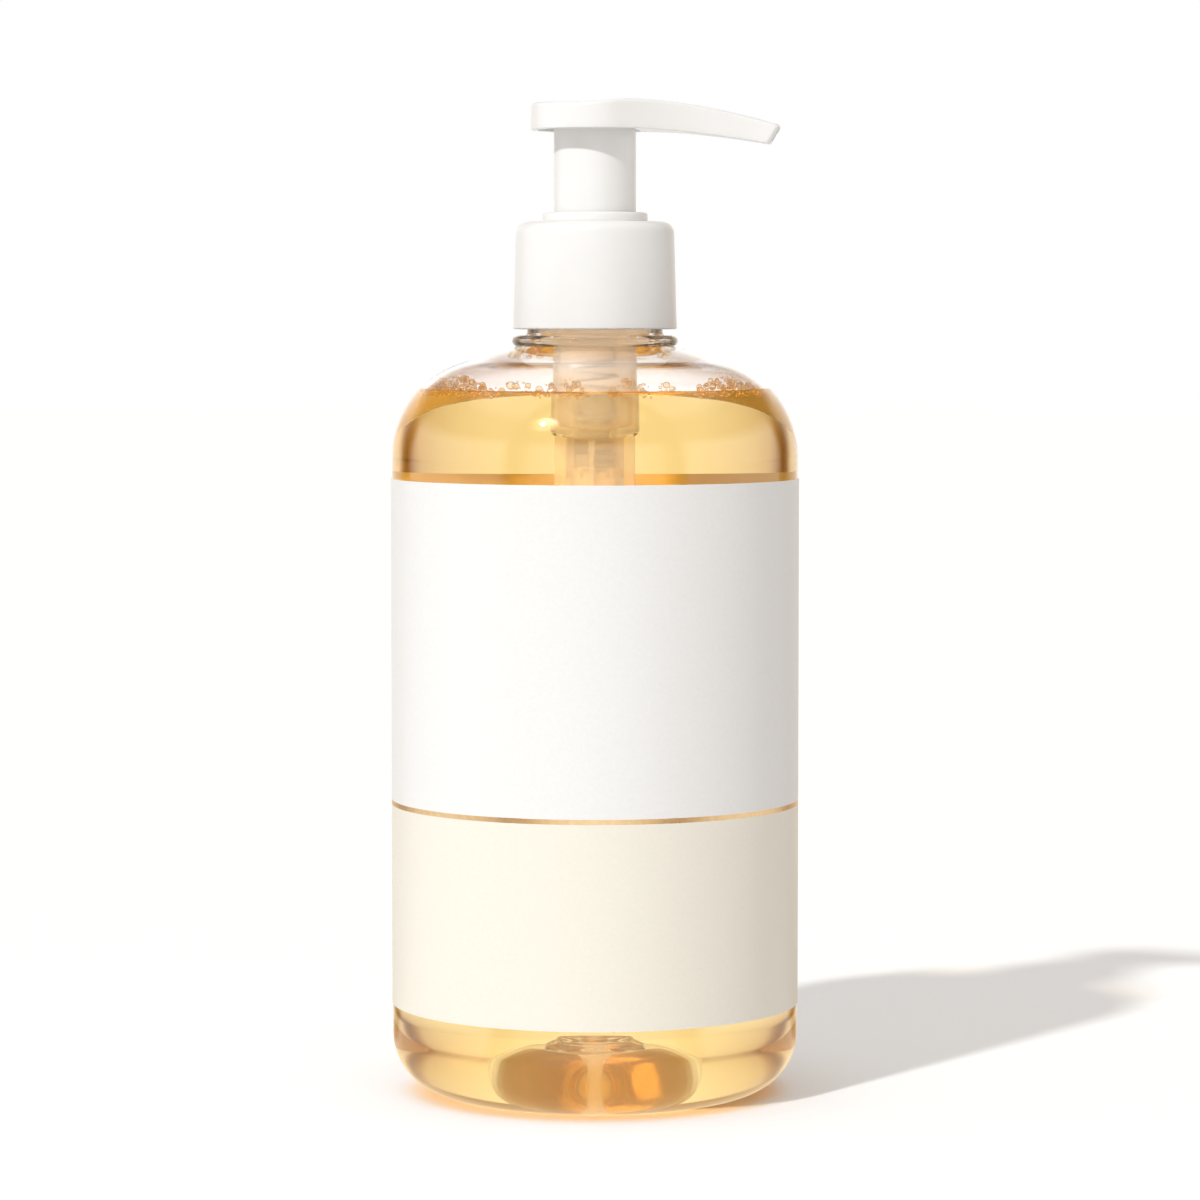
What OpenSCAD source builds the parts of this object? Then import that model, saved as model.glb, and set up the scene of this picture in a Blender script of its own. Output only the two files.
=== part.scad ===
// Pump bottle for liquid shampoo: a blow-moulded clear bottle with a wrap-round
// label, and a screw-on lotion pump with every internal piece.
// Millimetres. +Z is up, the origin is the middle of the base, and the spout
// points along +X.

/* [Bottle] */
// Outer diameter of the bottle's straight body
body_d = 74; // [66:1:90]
// Height where the shoulder starts to curve in
body_h = 116; // [95:0.5:150]
// Wall thickness of the body
wall = 0.7; // [0.5:0.05:1]
// Radius of the heel, between the side and the foot
heel_r = 11; // [8:0.5:13]
// Radius of the shoulder curve
shoulder_r = 18.25; // [12:0.25:21]
// Slope of the shoulder where it meets the neck, in degrees
shoulder_slope = 16; // [10:0.5:20]
// Width of the flat ring that the bottle stands on
foot_w = 1.5; // [1:0.1:3]
// Height of the pushed-up base, on the outside
push_up_h = 9; // [6:0.5:12]
// Level of the liquid above the start of the shoulder
fill_h = 11; // [4:0.5:12]

/* [Label] */
// Height of the label
label_h = 95.8; // [60:0.1:97]
// Height of the label's lower edge above the foot
label_z = 16.5; // [13:0.1:19]
// Thickness of the label film
label_t = 0.15; // [0.1:0.05:0.3]
// Length of the overlap at the label's seam, measured round the bottle
seam_w = 7; // [4:0.5:12]

/* [Neck] */
// Diameter of the neck below its thread
neck_d = 24.7; // [24.4:0.1:25.2]
// Wall of the neck
neck_wall = 1.55; // [1.3:0.05:1.8]
// Height of the neck above its bead
neck_h = 17.2; // [16.5:0.1:19]
// How far the bead under the closure stands out from the neck
bead_w = 2.75; // [2:0.05:3.5]
// Height of the bead
bead_h = 2; // [1.4:0.1:2.6]
// How far the thread stands out from the neck
thread_h = 1.15; // [1:0.05:1.3]
// Pitch of the thread, 6 turns to the inch
thread_pitch = 4.233; // [3.8:0.001:4.6]
// Turns of thread on the neck, and in the closure
thread_turns = 1.5; // [1:0.25:1.5]

/* [Closure] */
// Wall of the closure at its open end
closure_wall = 1.18; // [1:0.02:2]
// Diameter lost by draft between its open end and its top
closure_draft = 1.1; // [0.4:0.1:1.2]
// Gap between the closure and the bead
closure_gap = 1.1; // [0.8:0.1:2]
// Thickness of the closure's top
closure_top = 1.1; // [0.9:0.1:1.6]
// Radius of the closure's top edge
closure_round = 2.2; // [1:0.1:3]

/* [Pump head] */
// Diameter of the skirt under the head
skirt_d = 14.9; // [14:0.1:15]
// Wall of the skirt
skirt_wall = 1.1; // [0.9:0.1:1.3]
// Length of skirt that shows when the head is up
skirt_show = 14.9; // [14.5:0.1:20]
// How far the head is pressed at each stroke
stroke = 12.5; // [9:0.5:12.5]
// Diameter of the head's round end
head_d = 23.2; // [20:0.2:27]
// Height of the head's side
head_h = 4.9; // [4.4:0.1:6]
// Reach of the spout from the pump's axis
spout_reach = 33.8; // [28:0.2:36]
// Drop of the spout's tip below the head's underside
spout_drop = 2.7; // [1:0.1:5]
// Width of the spout at its tip
spout_w = 5; // [4.6:0.1:8]
// Diameter of the outlet
outlet_d = 2.8; // [2:0.1:3]
// Length of the outlet's straight bore
outlet_l = 11; // [8:0.5:12]

/* [Lock ring] */
// Outer diameter of the ring on top of the closure
ring_d = 19.1; // [18.8:0.1:22]
// Height of the ring above the closure
ring_h = 1.6; // [1.2:0.1:2.4]
// Depth of the ring's sleeve inside the closure
sleeve_h = 8.5; // [6:0.5:10]

/* [Pump housing] */
// Gap between the neck and the cup inside it
cup_gap = 0.5; // [0.3:0.1:0.8]
// Outer diameter of the metering cylinder
cylinder_d = 15.3; // [14.9:0.1:16.5]
// Outer diameter of the spring chamber
chamber_d = 12; // [11.6:0.1:13]
// Length of the spring chamber
chamber_h = 8.9; // [8:0.1:12]
// Outer diameter of the socket that holds the dip tube
socket_d = 7.8; // [7.4:0.1:8.4]
// Length of the socket
socket_h = 12.7; // [12:0.1:16]
// Diameter across the ribs round the socket
rib_d = 10.8; // [9:0.1:11.4]
// Number of ribs
rib_n = 4; // [3:1:8]
// Thickness of the pump's moulded walls
pump_wall = 0.9; // [0.7:0.05:1]
// Thickness of the neck gasket
gasket_t = 1; // [0.8:0.1:1.6]

/* [Pump internals] */
// Diameter of the stem
stem_d = 6.8; // [6.4:0.1:7.2]
// Bore of the stem
stem_bore_d = 4.6; // [4:0.1:4.8]
// Height of the piston
piston_h = 3.1; // [2.6:0.1:3.4]
// Lost motion between the piston and the stem
piston_play = 1.2; // [0.8:0.1:1.2]
// Diameter of the inlet ball
ball_d = 4.4; // [4:0.1:4.6]
// How far the inlet ball lifts
ball_lift = 1.3; // [0.8:0.1:1.6]
// Wire diameter of the spring
spring_wire = 0.7; // [0.5:0.05:0.75]
// Mean diameter of the spring's coils
spring_d = 8; // [7.8:0.1:8.4]
// Number of coils
spring_coils = 8; // [5:0.5:8]
// Outer diameter of the dip tube
tube_d = 5.6; // [5.2:0.1:5.8]
// Wall of the dip tube
tube_wall = 0.7; // [0.5:0.05:0.9]

/* [Clearances] */
// Radial gap of pieces pressed or snapped together
press_gap = 0.02; // [0.01:0.01:0.05]
// Radial gap of pieces that slide in each other
slide_gap = 0.05; // [0.03:0.01:0.1]
// Gap between pieces that pass each other freely
free_gap = 0.3; // [0.2:0.05:0.4]
// Gap between pieces that rest on each other
seat_gap = 0.02; // [0.01:0.01:0.05]
// Gap between the two threads, across the flanks' tips
thread_gap = 0.2; // [0.15:0.05:0.3]

/* [Hidden] */
$fn = 96;

// ---- Bottle: radii and levels ----
body_r = body_d / 2;
neck_r = neck_d / 2;
bead_r = neck_r + bead_w;
neck_bore_r = neck_r - neck_wall;
bead_foot_r = bead_r - 0.7;
shoulder_c = body_r - shoulder_r;
shoulder_end_r = shoulder_c + shoulder_r * sin(shoulder_slope);
shoulder_end_z = body_h + shoulder_r * cos(shoulder_slope);
bead_z = shoulder_end_z + (shoulder_end_r - bead_foot_r) * tan(shoulder_slope);
bead_top_z = bead_z + bead_h;
neck_top_z = bead_top_z + neck_h;
foot_r = body_r - heel_r;
foot_in_r = foot_r - foot_w;
level_z = body_h + fill_h;
// The pushed-up base: a dome with a small raised disc at its middle.
base_t = 1.2;
disc_r = 5.2;
disc_h = 1.3;
dome_foot_t = 0.9;
dome_step = 1.2;
dome_edge_r = disc_r + dome_step;
base_top_z = push_up_h + base_t + disc_h;
gate_r = 1.6;
gate_h = 0.6;

// ---- Closure and lock ring ----
closure_z = bead_top_z + closure_gap;
flange_t = 1.2;
flange_z = neck_top_z + seat_gap + gasket_t;
flange_top_z = flange_z + flange_t;
closure_roof_z = flange_top_z + slide_gap;
closure_top_z = closure_roof_z + closure_top;
ring_z = closure_top_z + slide_gap;
ring_top_z = ring_z + ring_h;
skirt_r = skirt_d / 2;
ring_bore_r = skirt_r + free_gap;
sleeve_r = ring_bore_r + 1.1;
closure_hole_r = sleeve_r + 0.2;
ring_edge = 0.45;
thread_r = neck_r + thread_h;
closure_root_r = thread_r + thread_gap;
closure_neck_r = closure_root_r - 0.8;
closure_crest_r = neck_r + thread_gap + 0.1;
thread_root_w = 2.2;
thread_crest_w = 1.2;
thread_top_gap = 2.8;
thread_z = neck_top_z - thread_top_gap - thread_pitch * thread_turns;

// ---- Head ----
head_z = ring_top_z + skirt_show;
head_top_z = head_z + head_h;
head_r = head_d / 2;
skirt_end_z = ring_top_z - 1.7;
skirt_bore_r = skirt_r - skirt_wall;
dish_depth = 0.28;
dish_x = -head_r * 0.2;
crest_x = head_r * 0.67;
crest_rise = 0.37;
tip_h = 3.6;
tip_top_z = head_z + 0.6;
tip_lean = 2;
tip_slope = 13;
channel_r = outlet_d / 2;
channel_z = head_z + 2.3;
outlet_x = spout_reach - tip_lean / 2;
outlet_z = head_z - spout_drop + tip_h / 2;
elbow_x = outlet_x - outlet_l * cos(tip_slope);
elbow_z = outlet_z + outlet_l * sin(tip_slope);
boss_r = stem_d / 2 + press_gap + 1.2;
boss_l = 11;

// ---- Housing ----
cup_r = neck_bore_r - cup_gap;
cylinder_r = cylinder_d / 2;
cylinder_bore_r = cylinder_r - pump_wall;
chamber_r = chamber_d / 2;
chamber_bore_r = chamber_r - pump_wall;
socket_r = socket_d / 2;
rib_r = rib_d / 2;
rib_t = 0.9;
flange_r = neck_r + 0.5;
cylinder_top_z = skirt_end_z - stroke - 0.2;
stop_t = 1.5;
stop_z = cylinder_top_z - stop_t;
piston_top_z = stop_z - piston_play - 0.1;
piston_z = piston_top_z - piston_h;
cylinder_floor_z = piston_z - stroke - 0.1;
cylinder_z = cylinder_floor_z - pump_wall;
cup_floor_z = bead_z + 0.8;
chamber_z = cylinder_z - chamber_h;
chamber_floor_z = chamber_z + pump_wall;
socket_z = chamber_z - socket_h;
tube_r = tube_d / 2;
tube_top_z = chamber_z - 5.1;
seat_z = tube_top_z + 1.5;
seat_r = 1.6;
vent_r = 0.5;

// ---- Inlet valve ----
ball_r = ball_d / 2;
ball_z = seat_z + sqrt(ball_r * ball_r - seat_r * seat_r) + 0.02;
cage_bore_r = ball_r + 0.2;
cage_r = cage_bore_r + 0.5;
cage_z = seat_z + 0.4;
cage_roof_z = ball_z + ball_r + ball_lift + 0.02;
cage_roof_t = 1;
cage_crown_r = cage_r + 0.15;
cage_groove = 0.3;

// ---- Stem, piston and rod ----
stem_r = stem_d / 2;
stem_bore_r = stem_bore_d / 2;
stem_neck_r = stem_r - 0.55;
stem_shoulder_z = piston_top_z + piston_play + 0.1;
stem_z = piston_z + 1.6;
stem_top_z = head_z - 0.8;
hub_bore_r = stem_neck_r + slide_gap;
hub_r = hub_bore_r + 0.9;
rod_r = stem_bore_r - press_gap;
rod_bore_r = rod_r - 0.75;
rod_top_z = stem_z + 8;
rod_flange_r = 4.2;
rod_flange_top_z = piston_z - 0.1;
rod_flange_t = 1.6;
spring_top_z = rod_flange_top_z - rod_flange_t;
rod_boss_r = (spring_d - spring_wire) / 2 - 0.25;
rod_boss_h = 2;
port_r = 0.55;

// ---- Dip tube ----
tube_end_z = base_top_z + 0.6;
tube_cut = 30;

// Points of an arc about c, from angle a to angle b.
function arc(c, r, a, b, n = 12) =
    [for (i = [0:n]) let (t = a + (b - a) * i / n) c + r * [cos(t), sin(t)]];

// Height of the pushed-up base at radius r, lifted by t.
function dome(r, t) =
    let (s = (r - dome_edge_r) / (foot_in_r - dome_edge_r))
    t + push_up_h * (1 + cos(180 * s)) / 2;
function dome_points(t, from, to, n = 14) =
    [for (i = [0:n]) let (r = from + (to - from) * i / n) [r, dome(r, t)]];

// Radius of the body's inner wall and the inside of its heel.
inner_r = body_r - wall;
inner_heel = [foot_r, heel_r];

// Outline of the cavity from the middle of the base up to the shoulder's end.
function cavity_foot() = concat(
    [[0, base_top_z], [disc_r, base_top_z]],
    dome_points(base_t, dome_edge_r, foot_in_r - 1),
    arc(inner_heel, heel_r - wall, -90, 0)
);
function shoulder_arc(r, top = 90 - shoulder_slope, n = 16) =
    arc([shoulder_c, body_h], r, 0, top, n);

module revolve(points) {
    rotate_extrude(convexity = 8) polygon(points);
}

// A helical ridge of trapezoid section, its foot at radius r_foot and its crest
// at r_crest. It fades in and out over the first and last eighth of a turn.
module thread_ridge(r_foot, r_crest, z, turns) {
    steps = 32;
    n = round(steps * turns);
    sink = r_crest > r_foot ? -0.3 : 0.3;
    function crest(i) = r_foot + (r_crest - r_foot) * min(1, 0.05 + min(i, n - i) / (steps / 8));
    function ring(i) =
        let (a = 360 * i / steps, c = crest(i), dz = thread_pitch * i / steps + z)
        [
            for (p = [
                [r_foot + sink, -thread_root_w / 2], [c, -thread_crest_w / 2],
                [c, thread_crest_w / 2], [r_foot + sink, thread_root_w / 2]
            ]) [p[0] * cos(a), p[0] * sin(a), p[1] + dz]
        ];
    points = [for (i = [0:n]) each ring(i)];
    sides = [
        for (i = [0:n - 1], k = [0:3])
            let (a = 4 * i + k, b = 4 * i + (k + 1) % 4)
            r_crest > r_foot ? [a, b, b + 4, a + 4] : [a, a + 4, b + 4, b]
    ];
    last = 4 * n;
    caps = r_crest > r_foot
        ? [[3, 2, 1, 0], [last, last + 1, last + 2, last + 3]]
        : [[0, 1, 2, 3], [last + 3, last + 2, last + 1, last]];
    polyhedron(points, concat(sides, caps), convexity = 6);
}

module bottle() {
    bead_round = bead_h / 2;
    shoulder = shoulder_arc(shoulder_r);
    down = [for (i = [len(shoulder) - 1:-1:0]) shoulder[i]];
    neck_side = concat(
        [[neck_bore_r, neck_top_z], [neck_r - 0.3, neck_top_z], [neck_r, neck_top_z - 0.3],
         [neck_r, bead_top_z]],
        arc([bead_r - bead_round, bead_z + bead_round], bead_round, 90, -60, 8),
        [[bead_foot_r, bead_z]]
    );
    heel = arc([foot_r, heel_r], heel_r, 0, -90);
    under = concat(
        [[foot_in_r, 0]],
        dome_points(0, foot_in_r - 0.6, dome_edge_r),
        [[disc_r - 0.6, push_up_h + disc_h], [gate_r, push_up_h + disc_h],
         [gate_r, push_up_h + disc_h - gate_h], [0, push_up_h + disc_h - gate_h]]
    );
    inner_top_z = body_h + (shoulder_r - wall) * cos(shoulder_slope)
        + (shoulder_end_r - wall * sin(shoulder_slope) - neck_bore_r) * tan(shoulder_slope);
    inside = concat(
        cavity_foot(), shoulder_arc(shoulder_r - wall), [[neck_bore_r, inner_top_z]]
    );
    color("lightcyan", 0.4) union() {
        revolve(concat(neck_side, down, heel, under, inside));
        thread_ridge(neck_r, thread_r, thread_z, thread_turns);
    }
}

module label() {
    r0 = body_r + 0.01;
    seam_a = 360 * seam_w / (PI * body_d);
    color("white") union() {
        translate([0, 0, label_z]) difference() {
            cylinder(r = r0 + label_t, h = label_h);
            translate([0, 0, -1]) cylinder(r = r0, h = label_h + 2);
        }
        // The overlap lies at the back, on top of the first layer.
        rotate([0, 0, 90 - seam_a / 2]) rotate_extrude(angle = seam_a)
            translate([r0 + label_t - 0.01, label_z]) square([label_t + 0.01, label_h]);
    }
}

// The housing and the dip tube, grown by g, as the space they take in the liquid.
module wet_space(g) {
    translate([0, 0, cylinder_z - g]) cylinder(r = cylinder_r + g, h = level_z - cylinder_z + 2);
    translate([0, 0, chamber_z - g]) cylinder(r = chamber_r + g, h = level_z - chamber_z + 2);
    translate([0, 0, socket_z - g]) cylinder(r = rib_r + g, h = level_z - socket_z + 2);
    translate([0, 0, base_top_z - 1]) cylinder(r = tube_r + g, h = socket_z - base_top_z + 2);
}

module shampoo() {
    // The shoulder's inner arc stops at the liquid's level.
    level_a = asin((level_z - body_h) / (shoulder_r - wall));
    gap = 0.05;
    outline = concat(
        [[0, base_top_z + gap], [disc_r, base_top_z + gap]],
        dome_points(base_t + gap, dome_edge_r, foot_in_r - 1),
        arc(inner_heel, heel_r - wall - gap, -90, 0),
        shoulder_arc(shoulder_r - wall - gap, level_a, 10),
        [[0, level_z]]
    );
    color("goldenrod", 0.6) difference() {
        revolve(outline);
        wet_space(0.1);
    }
}

module closure() {
    r0 = closure_root_r + closure_wall;
    r1 = r0 - closure_draft / 2;
    shell = concat(
        [[closure_root_r, closure_z], [r0, closure_z]],
        arc([r1 - closure_round, closure_top_z - closure_round], closure_round, 0, 90, 10),
        [[closure_hole_r, closure_top_z], [closure_hole_r, closure_roof_z],
         [closure_neck_r, closure_roof_z], [closure_neck_r, neck_top_z - 1.2],
         [closure_root_r, neck_top_z - 2]]
    );
    color("white") union() {
        revolve(shell);
        thread_ridge(closure_root_r, closure_crest_r, thread_z - thread_pitch / 2, thread_turns);
    }
}

module lock_ring() {
    r = ring_d / 2;
    snap_z = flange_z - 0.3;
    foot_z = ring_z - sleeve_h;
    color("white") revolve([
        [ring_bore_r, ring_top_z], [r - ring_edge, ring_top_z], [r, ring_top_z - ring_edge],
        [r, ring_z], [sleeve_r, ring_z], [sleeve_r, snap_z], [sleeve_r + 0.25, snap_z - 0.3],
        [sleeve_r, snap_z - 0.9], [sleeve_r, foot_z + 0.4], [sleeve_r - 0.4, foot_z],
        [ring_bore_r, foot_z]
    ]);
}

module housing() {
    cup_bore_r = cup_r - pump_wall;
    lip_r = sleeve_r + press_gap + 0.03;
    recess_r = cage_r + press_gap;
    tube_bore_r = tube_r + press_gap;
    color("whitesmoke", 0.7) difference() {
        union() {
            revolve([
                [lip_r, flange_top_z], [flange_r, flange_top_z], [flange_r, flange_z],
                [cup_r, flange_z], [cup_r, cup_floor_z + 0.5], [cup_r - 0.5, cup_floor_z],
                [cylinder_r, cup_floor_z], [cylinder_r, cylinder_z + 0.3],
                [cylinder_r - 0.3, cylinder_z], [chamber_r, cylinder_z],
                [chamber_r, chamber_z + 0.4], [chamber_r - 0.4, chamber_z],
                [socket_r, chamber_z], [socket_r, socket_z + 0.3],
                [socket_r - 0.3, socket_z], [tube_bore_r + 0.3, socket_z],
                [tube_bore_r, socket_z + 0.3], [tube_bore_r, tube_top_z],
                [seat_r, tube_top_z], [seat_r, seat_z], [recess_r, seat_z],
                [recess_r, chamber_floor_z], [chamber_bore_r, chamber_floor_z],
                [chamber_bore_r, cylinder_floor_z], [cylinder_bore_r, cylinder_floor_z],
                [cylinder_bore_r, cylinder_top_z - 0.2], [cylinder_bore_r + 0.2, cylinder_top_z],
                [cylinder_r, cylinder_top_z], [cylinder_r, cup_floor_z + pump_wall],
                [cup_bore_r, cup_floor_z + pump_wall], [cup_bore_r, flange_z], [lip_r, flange_z]
            ]);
            for (i = [0:rib_n - 1]) rotate([0, 0, 360 * i / rib_n])
                translate([socket_r - 0.3, -rib_t / 2, socket_z + 2])
                    cube([rib_r - socket_r + 0.3, rib_t, chamber_z - socket_z - 1.8]);
        }
        // Vent hole that lets air in as the liquid is drawn out.
        translate([0, 0, cup_floor_z + 4]) rotate([0, 90, 60]) cylinder(r = vent_r, h = cup_r + 1, $fn = 24);
    }
}

module neck_gasket() {
    color("gainsboro") translate([0, 0, neck_top_z + seat_gap]) difference() {
        cylinder(r = flange_r - 0.1, h = gasket_t);
        translate([0, 0, -1]) cylinder(r = cup_r + press_gap, h = gasket_t + 2);
    }
}

module piston_stop() {
    bore_r = stem_r + slide_gap;
    color("whitesmoke") difference() {
        translate([0, 0, stop_z]) cylinder(r = cylinder_bore_r - press_gap, h = stop_t);
        translate([0, 0, stop_z - 1]) cylinder(r = bore_r, h = stop_t + 2);
        for (a = [45:90:315]) rotate([0, 0, a])
            translate([cylinder_bore_r - 1.3, 0, stop_z - 1]) cylinder(r = 0.6, h = stop_t + 2, $fn = 24);
    }
}

module valve_cage() {
    // Rings round the outside grip the socket, and four slots let liquid past.
    pitch = (chamber_floor_z - cage_z) / 4;
    rings = [
        for (i = [0:3]) let (z = cage_z + pitch * i)
        each [
            [cage_r, z], [cage_r, z + pitch * 0.5], [cage_r - cage_groove, z + pitch * 0.6],
            [cage_r - cage_groove, z + pitch * 0.9]
        ]
    ];
    crown_z = chamber_floor_z + 0.05;
    color("white") difference() {
        revolve(concat(
            [[cage_bore_r, cage_z]], rings,
            [[cage_r, crown_z], [cage_crown_r + 0.2, crown_z],
             [cage_crown_r + 0.2, cage_roof_z + cage_roof_t - 0.3],
             [cage_crown_r - 0.1, cage_roof_z + cage_roof_t], [0.8, cage_roof_z + cage_roof_t],
             [0.8, cage_roof_z], [cage_bore_r, cage_roof_z]]
        ));
        for (a = [0, 90]) rotate([0, 0, a + 45])
            translate([-cage_crown_r - 1, -0.6, crown_z + 0.1])
                cube([2 * cage_crown_r + 2, 1.2, cage_roof_z - crown_z + cage_roof_t - 0.5]);
    }
}

module inlet_ball() {
    color("silver") translate([0, 0, ball_z]) sphere(r = ball_r);
}

module dip_tube() {
    color("whitesmoke", 0.6) difference() {
        translate([0, 0, tube_end_z]) cylinder(r = tube_r, h = tube_top_z - tube_end_z - 0.1);
        translate([0, 0, tube_end_z - 1])
            cylinder(r = tube_r - tube_wall, h = tube_top_z - tube_end_z + 2);
        // Slanted cut at the foot, so that the base can't close the tube.
        translate([tube_r, 0, tube_end_z]) rotate([0, tube_cut, 0])
            translate([-20, -10, -20]) cube([20, 20, 20]);
    }
}

// Centre line of the spring: closed coils at both ends, open ones between.
function spring_z(t, length) =
    let (ends = spring_wire, open = length - spring_wire - 2 * ends)
    t < 1 ? t * ends
    : t > spring_coils - 1 ? length - spring_wire - (spring_coils - t) * ends
    : ends + open * (t - 1) / (spring_coils - 2);

module spring() {
    steps = 20;
    sides = 6;
    z0 = chamber_floor_z + spring_wire / 2 + 0.02;
    length = spring_top_z - chamber_floor_z - 0.04;
    n = round(spring_coils * steps);
    points = [
        for (i = [0:n], k = [0:sides - 1])
            let (
                a = 360 * i / steps, b = 360 * k / sides,
                r = spring_d / 2 + spring_wire / 2 * cos(b),
                z = z0 + spring_z(i / steps, length) + spring_wire / 2 * sin(b)
            ) [r * cos(a), r * sin(a), z]
    ];
    faces = concat(
        [[for (k = [sides - 1:-1:0]) k]],
        [for (i = [0:n - 1], k = [0:sides - 1])
            let (a = sides * i + k, b = sides * i + (k + 1) % sides) [a, b, b + sides, a + sides]],
        [[for (k = [0:sides - 1]) sides * n + k]]
    );
    color("lightgray") polyhedron(points, faces, convexity = 10);
}

module piston() {
    r = cylinder_bore_r - slide_gap;
    web = 1;
    lip = 0.8;
    mid_z = piston_z + piston_h / 2 - web / 2;
    color("lightyellow") revolve([
        [hub_bore_r, piston_z], [hub_r, piston_z], [hub_r, mid_z], [r - lip, mid_z],
        [r - 0.4, piston_z], [r, piston_z], [r - 0.25, mid_z], [r - 0.25, mid_z + web],
        [r, piston_top_z], [r - 0.4, piston_top_z], [r - lip, mid_z + web], [hub_r, mid_z + web],
        [hub_r, piston_top_z], [hub_bore_r, piston_top_z]
    ]);
}

module piston_rod() {
    port_z = rod_flange_top_z + port_r + 0.35;
    color("white") difference() {
        revolve([
            [0, spring_top_z - rod_boss_h], [rod_boss_r - 0.5, spring_top_z - rod_boss_h],
            [rod_boss_r, spring_top_z - rod_boss_h + 0.5], [rod_boss_r, spring_top_z],
            [rod_flange_r + 0.4, spring_top_z], [rod_flange_r + 0.4, rod_flange_top_z - 0.6],
            [rod_flange_r, rod_flange_top_z], [rod_r, rod_flange_top_z], [rod_r, rod_top_z],
            [rod_bore_r, rod_top_z], [rod_bore_r, port_z - port_r], [0, port_z - port_r]
        ]);
        for (a = [0, 90]) rotate([90, 0, a])
            translate([0, port_z, -rod_r - 1]) cylinder(r = port_r, h = 2 * rod_r + 2, $fn = 24);
    }
}

module stem() {
    color("white") revolve([
        [stem_bore_r, stem_z], [stem_neck_r - 0.1, stem_z], [stem_neck_r, stem_z + 0.2],
        [stem_neck_r, stem_shoulder_z], [stem_r, stem_shoulder_z], [stem_r, stem_top_z - 0.3],
        [stem_r - 0.3, stem_top_z], [stem_bore_r, stem_top_z]
    ]);
}

// The head seen from above: a round end and two sides that draw in to the tip.
module head_plan(inset = 0) {
    tip = spout_w / 2 - inset;
    r = head_r - inset;
    lean = 62;
    polygon(concat(
        arc([0, 0], r, lean, 360 - lean, 40),
        [
            for (i = [1:8]) let (s = i / 8, x = r * cos(lean) + (spout_reach + 1 - r * cos(lean)) * s)
            [x, -tip - (r * sin(lean) - tip) * pow(1 - s, 2)]
        ],
        [
            for (i = [8:-1:1]) let (s = i / 8, x = r * cos(lean) + (spout_reach + 1 - r * cos(lean)) * s)
            [x, tip + (r * sin(lean) - tip) * pow(1 - s, 2)]
        ]
    ));
}

// The head seen from the side: a dished top, a crest, and the falling spout.
module head_side() {
    function ease(s) = (1 - cos(180 * s)) / 2;
    function top_z(x) =
        x < dish_x ? head_top_z - dish_depth * ease((x + head_r + 1) / (dish_x + head_r + 1))
        : x < crest_x ? head_top_z - dish_depth
            + (dish_depth + crest_rise) * ease((x - dish_x) / (crest_x - dish_x))
        : head_top_z + crest_rise
            - (head_top_z + crest_rise - tip_top_z) * pow((x - crest_x) / (spout_reach - crest_x), 1.7);
    function under_z(x) = x < skirt_r ? head_z
        : head_z - spout_drop * pow((x - skirt_r) / (spout_reach - tip_lean - skirt_r), 1.6);
    polygon(concat(
        [for (i = [0:16]) let (x = -head_r - 1 + (spout_reach + head_r + 1) * i / 16) [x, top_z(x)]],
        [for (i = [16:-1:0]) let (x = -head_r - 1 + (spout_reach - tip_lean + head_r + 1) * i / 16)
            [x, under_z(x)]]
    ));
}

module actuator() {
    boss_bore_r = stem_r + press_gap;
    roof = 1.6;
    pocket_h = head_h - dish_depth - roof;
    color("white") difference() {
        union() {
            difference() {
                intersection() {
                    translate([0, 0, head_z - spout_drop - 1])
                        linear_extrude(height = head_h + spout_drop + 3) head_plan();
                    rotate([90, 0, 0]) translate([0, 0, -head_r - 1])
                        linear_extrude(height = 2 * head_r + 2) head_side();
                }
                // The round end is a shell, open underneath.
                intersection() {
                    translate([0, 0, head_z - 1]) linear_extrude(height = pocket_h + 1) head_plan(1.2);
                    translate([-head_r, -head_r, head_z - 1])
                        cube([head_r + crest_x, 2 * head_r, pocket_h + 1]);
                }
            }
            // Walls round the channel, the skirt and the boss that grips the stem.
            translate([0, -channel_r - 1, head_z]) cube([crest_x + 0.5, 2 * channel_r + 2, pocket_h + 0.5]);
            translate([0, 0, skirt_end_z]) cylinder(r = skirt_r, h = head_z - skirt_end_z + pocket_h + 0.3);
        }
        translate([0, 0, skirt_end_z - 1]) difference() {
            cylinder(r = skirt_bore_r, h = head_z - skirt_end_z + 1);
            translate([0, 0, head_z - skirt_end_z + 1 - boss_l]) cylinder(r = boss_r, h = boss_l + 1);
        }
        translate([0, 0, skirt_end_z - 1]) cylinder(r = boss_bore_r, h = stem_top_z - skirt_end_z + 1);
        translate([0, 0, stem_top_z - 1]) cylinder(r = stem_bore_r, h = channel_z - stem_top_z + 1);
        // The channel turns from the stem into the spout, and on to the outlet.
        rotate([0, 90, 0]) translate([-channel_z, 0, 0])
            cylinder(r = channel_r * 0.9, h = elbow_x);
        translate([elbow_x, 0, elbow_z]) sphere(r = channel_r);
        translate([elbow_x, 0, elbow_z]) rotate([0, 90 + tip_slope, 0])
            cylinder(r = channel_r, h = outlet_l + 4);
    }
}

bottle();
label();
shampoo();
closure();
lock_ring();
housing();
neck_gasket();
piston_stop();
valve_cage();
inlet_ball();
dip_tube();
spring();
piston();
piston_rod();
stem();
actuator();
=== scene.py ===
import math
import random
import bpy
import bmesh
from mathutils import Matrix, Vector


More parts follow.
